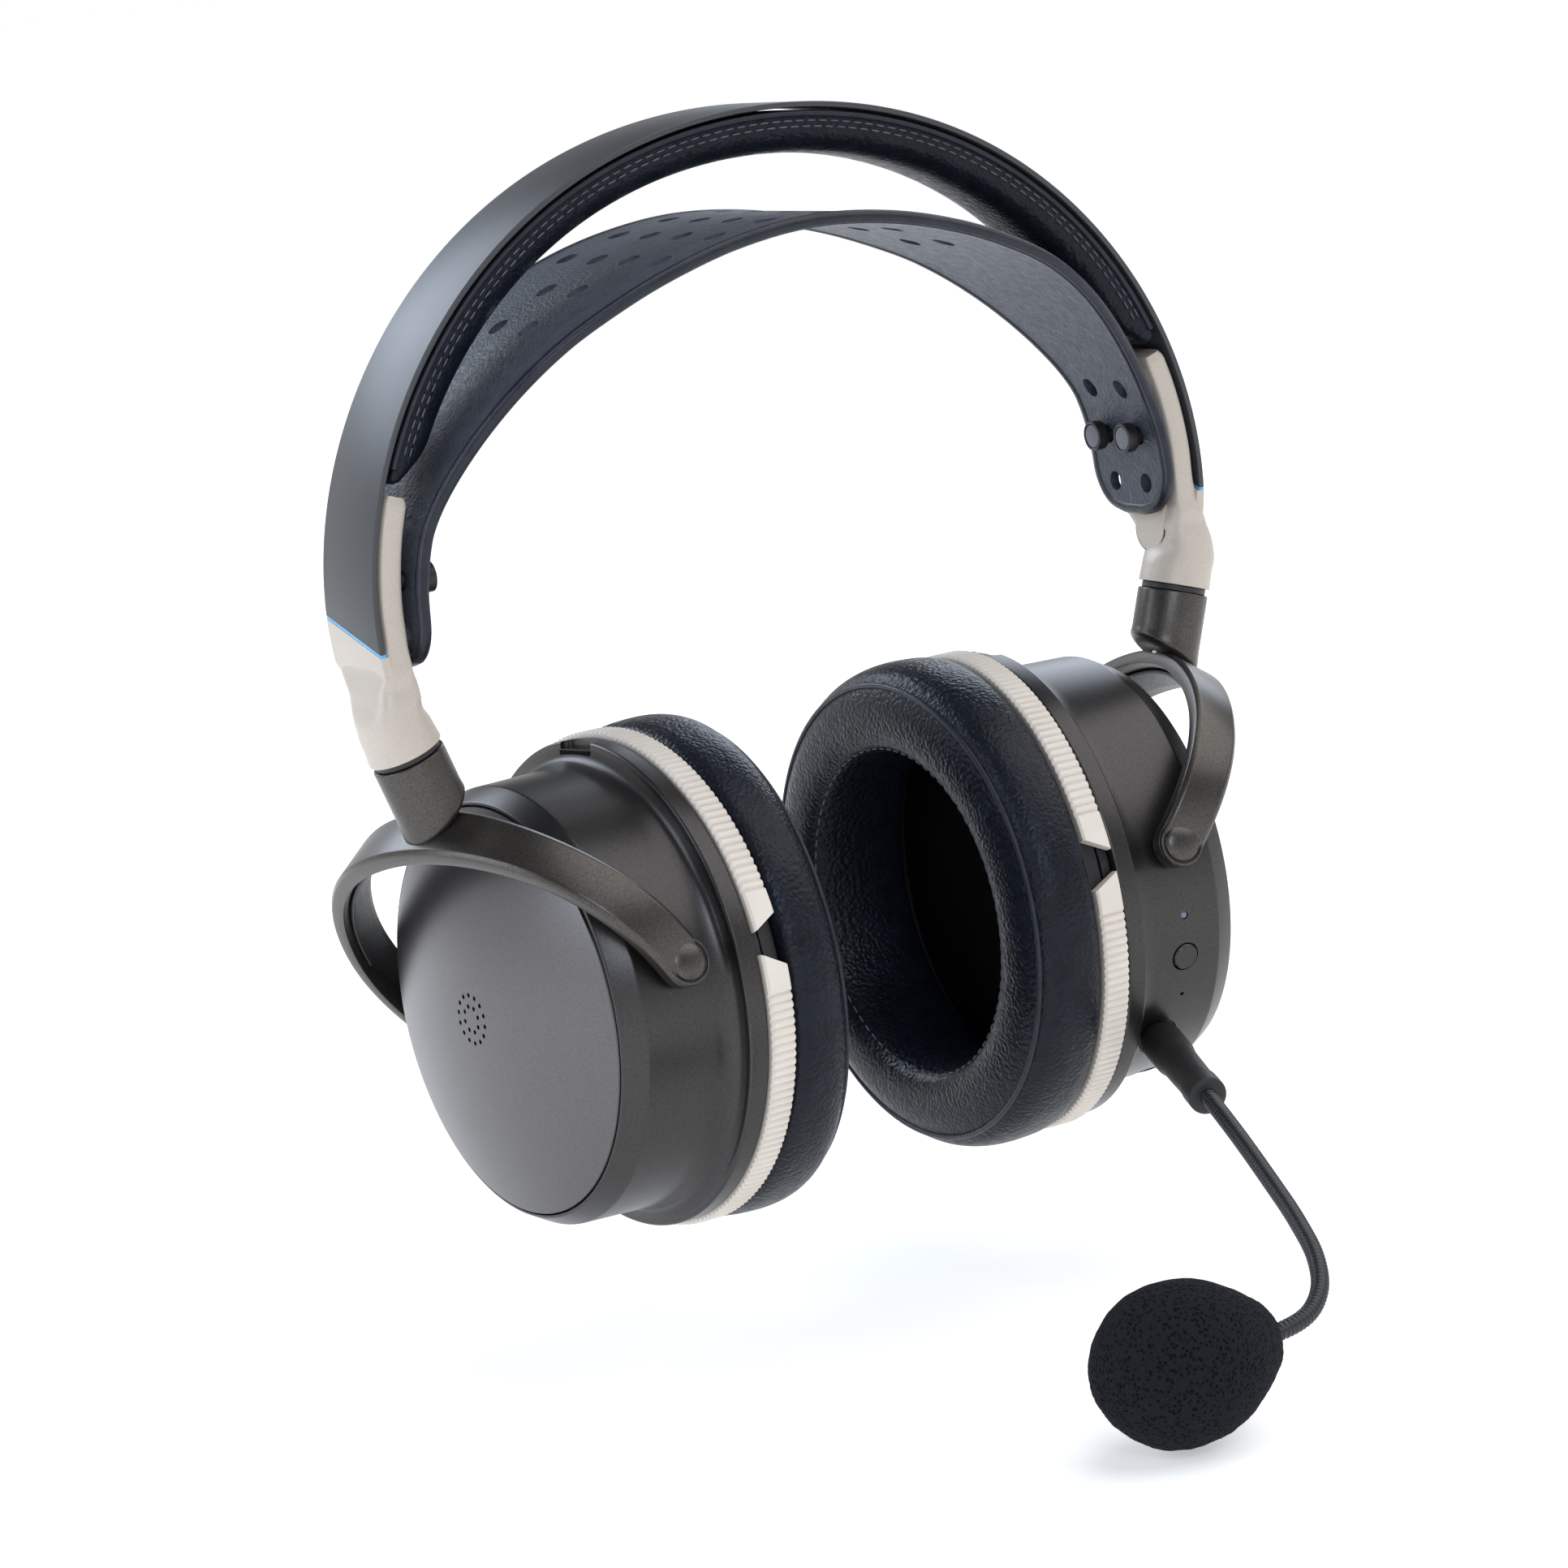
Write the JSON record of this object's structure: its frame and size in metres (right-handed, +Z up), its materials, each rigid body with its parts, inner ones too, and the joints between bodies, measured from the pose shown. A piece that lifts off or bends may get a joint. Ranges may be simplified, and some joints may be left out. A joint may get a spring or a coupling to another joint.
{
  "type": "aviation headset",
  "caption": "Closed-back over-ear headset with a sprung headband, suspension strap, swivelling ear cups and a detachable gooseneck boom microphone.",
  "frame": {"origin": "midway between the two ear cups, at the height of their pivots, where the wearer's ears are", "axes": "+X to the wearer's left, -Y forward, +Z up through the crown of the headband"},
  "size_m": [0.2022, 0.2119, 0.2521],
  "materials": {
    "band_paint": "satin",
    "black_leather": "pebbled",
    "slate_leather": "smooth",
    "champagne_metal": "satin",
    "black_plastic": "matte",
    "steel": "satin",
    "gunmetal": "satin metallic",
    "gunmetal_shell": "satin metallic",
    "ivory_plastic": "matte",
    "felt": "felt",
    "foam": "open-cell foam",
    "black_rubber": "matte",
    "black_hose": "satin",
    "board": "satin",
    "lamp_lens": "gloss"
  },
  "bodies": {
    "headband": {"spring_band": "band_paint", "band_pad": "black_leather", "suspension_strap": "slate_leather", "end_cap_left": "champagne_metal", "end_cap_right": "champagne_metal", "side_plate_left": "champagne_metal", "side_plate_right": "champagne_metal", "strap_stud_left_front": "black_plastic", "strap_stud_left_rear": "black_plastic", "strap_stud_right_front": "black_plastic", "strap_stud_right_rear": "black_plastic"},
    "slider_left": {"slide_rod_left": "steel", "swivel_washer_left": "black_plastic"},
    "slider_right": {"slide_rod_right": "steel", "swivel_washer_right": "black_plastic"},
    "arm_left": {"yoke_left": "gunmetal", "yoke_liner_left": "black_plastic", "pivot_cap_left_front": "gunmetal", "pivot_cap_left_rear": "gunmetal"},
    "arm_right": {"yoke_right": "gunmetal", "yoke_liner_right": "black_plastic", "pivot_cap_right_front": "gunmetal", "pivot_cap_right_rear": "gunmetal"},
    "cup_left": {"pivot_pin_left_front": "steel", "pivot_pin_left_rear": "steel", "housing_left": "gunmetal_shell", "cover_plate_left": "gunmetal_shell", "baffle_left": "black_plastic", "driver_left": "black_plastic", "pad_frame_left": "black_plastic", "knurled_ring_upper_left": "ivory_plastic", "knurled_ring_lower_left": "ivory_plastic", "ear_pad_left": "black_leather", "felt_vent_left": "felt", "circuit_board": "board", "status_light": "lamp_lens", "charging_socket": "steel", "boom_socket": "black_plastic"},
    "cup_right": {"pivot_pin_right_front": "steel", "pivot_pin_right_rear": "steel", "housing_right": "gunmetal_shell", "cover_plate_right": "gunmetal_shell", "baffle_right": "black_plastic", "driver_right": "black_plastic", "pad_frame_right": "black_plastic", "knurled_ring_upper_right": "ivory_plastic", "knurled_ring_lower_right": "ivory_plastic", "ear_pad_right": "black_leather", "felt_vent_right": "felt", "battery": "steel"},
    "power_button": {"power_button": "gunmetal_shell"},
    "volume_wheel": {"volume_wheel": "black_plastic"},
    "mic_boom": {"boom_plug": "steel", "boom_boot": "black_rubber", "gooseneck_lower": "black_hose"},
    "mic_tip": {"gooseneck_upper": "black_hose", "mic_capsule": "black_hose", "windscreen": "foam"}
  },
  "joints": [
    {"name": "slide_left", "type": "slide", "parent": "headband", "child": "slider_left", "axis": [-0.3136, 0, -0.9495], "range_m": [0, 0.009]},
    {"name": "slide_right", "type": "slide", "parent": "headband", "child": "slider_right", "axis": [0.3136, 0, -0.9495], "range_m": [0, 0.009]},
    {"name": "swivel_left", "type": "hinge", "parent": "slider_left", "child": "arm_left", "pos_m": [0.0925, -0.0045, 0.0572], "axis": [-0.3136, 0, -0.9495], "range_deg": [-8, 45]},
    {"name": "swivel_right", "type": "hinge", "parent": "slider_right", "child": "arm_right", "pos_m": [-0.0925, -0.0045, 0.0572], "axis": [-0.3136, 0, 0.9495], "range_deg": [-8, 75]},
    {"name": "tilt_left", "type": "hinge", "parent": "arm_left", "child": "cup_left", "pos_m": [0.06226, 0.00182, -0.00077], "axis": [-0.0599, -0.9667, 0.2487], "range_deg": [-5, 15]},
    {"name": "tilt_right", "type": "hinge", "parent": "arm_right", "child": "cup_right", "pos_m": [-0.06247, 0.00218, -0.00084], "axis": [-0.091, 0.9616, -0.259], "range_deg": [-5, 15]},
    {"name": "power_button_press", "type": "slide", "parent": "cup_left", "child": "power_button", "axis": [0.0511, 0.9606, 0.2731], "range_m": [0, 0.0006], "stiffness_N_per_m": 300},
    {"name": "volume_turn", "type": "hinge", "parent": "cup_left", "child": "volume_wheel", "pos_m": [0.06504, 0.033, -0.0242], "axis": [0.9982, -0.0577, 0.0161], "continuous": true},
    {"name": "mic_unplug", "type": "slide", "parent": "cup_left", "child": "mic_boom", "axis": [-0.28, -0.9441, -0.174], "range_m": [0, 0.014]},
    {"name": "gooseneck_bend", "type": "hinge", "parent": "mic_boom", "child": "mic_tip", "pos_m": [0.03, -0.1243, -0.0556], "axis": [-0.1109, -0.2926, 0.9498], "range_deg": [-30, 30]}
  ]
}
